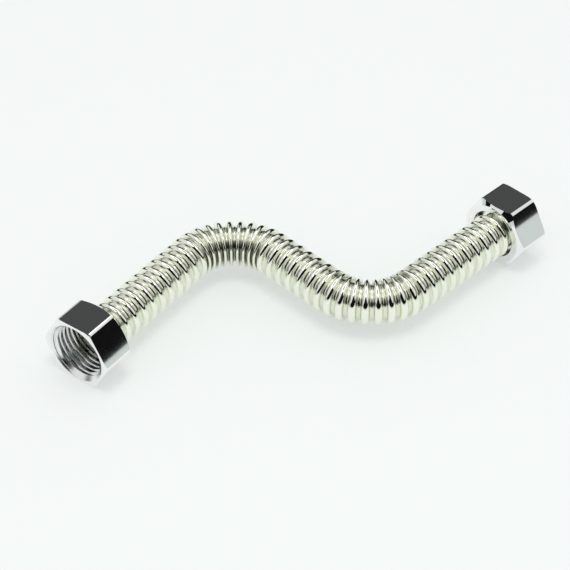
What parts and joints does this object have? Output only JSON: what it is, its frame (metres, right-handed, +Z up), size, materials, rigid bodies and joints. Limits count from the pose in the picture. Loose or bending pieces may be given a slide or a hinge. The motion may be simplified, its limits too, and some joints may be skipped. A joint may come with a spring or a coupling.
{
  "type": "corrugated metal bellows hose",
  "caption": "Short S-shaped corrugated metal bellows hose that carries water, gas or air between two threaded fittings, with a captive hexagon union nut at each end.",
  "frame": {"origin": "the middle of the plan, on the surface that the nuts' lower flats rest on", "axes": "+X along the inlet nut's axis, from its mouth towards the hose, +Z up, away from the surface it lies on"},
  "size_m": [0.1478, 0.108, 0.024],
  "materials": {
    "stainless_tube": "bright drawn",
    "plated_nut": "bright plated"
  },
  "bodies": {
    "hose": {"bellows_tube": "stainless_tube"},
    "inlet_nut": {"inlet_union_nut": "plated_nut"},
    "outlet_nut": {"outlet_union_nut": "plated_nut"}
  },
  "joints": [
    {"name": "inlet_nut_swivel", "type": "hinge", "parent": "hose", "child": "inlet_nut", "pos_m": [-0.07387, 0.04029, 0.012], "axis": [1, 0, 0], "continuous": true},
    {"name": "outlet_nut_swivel", "type": "hinge", "parent": "hose", "child": "outlet_nut", "pos_m": [0.0718, -0.04054, 0.012], "axis": [-0.9871, 0.1599, 0], "continuous": true}
  ]
}
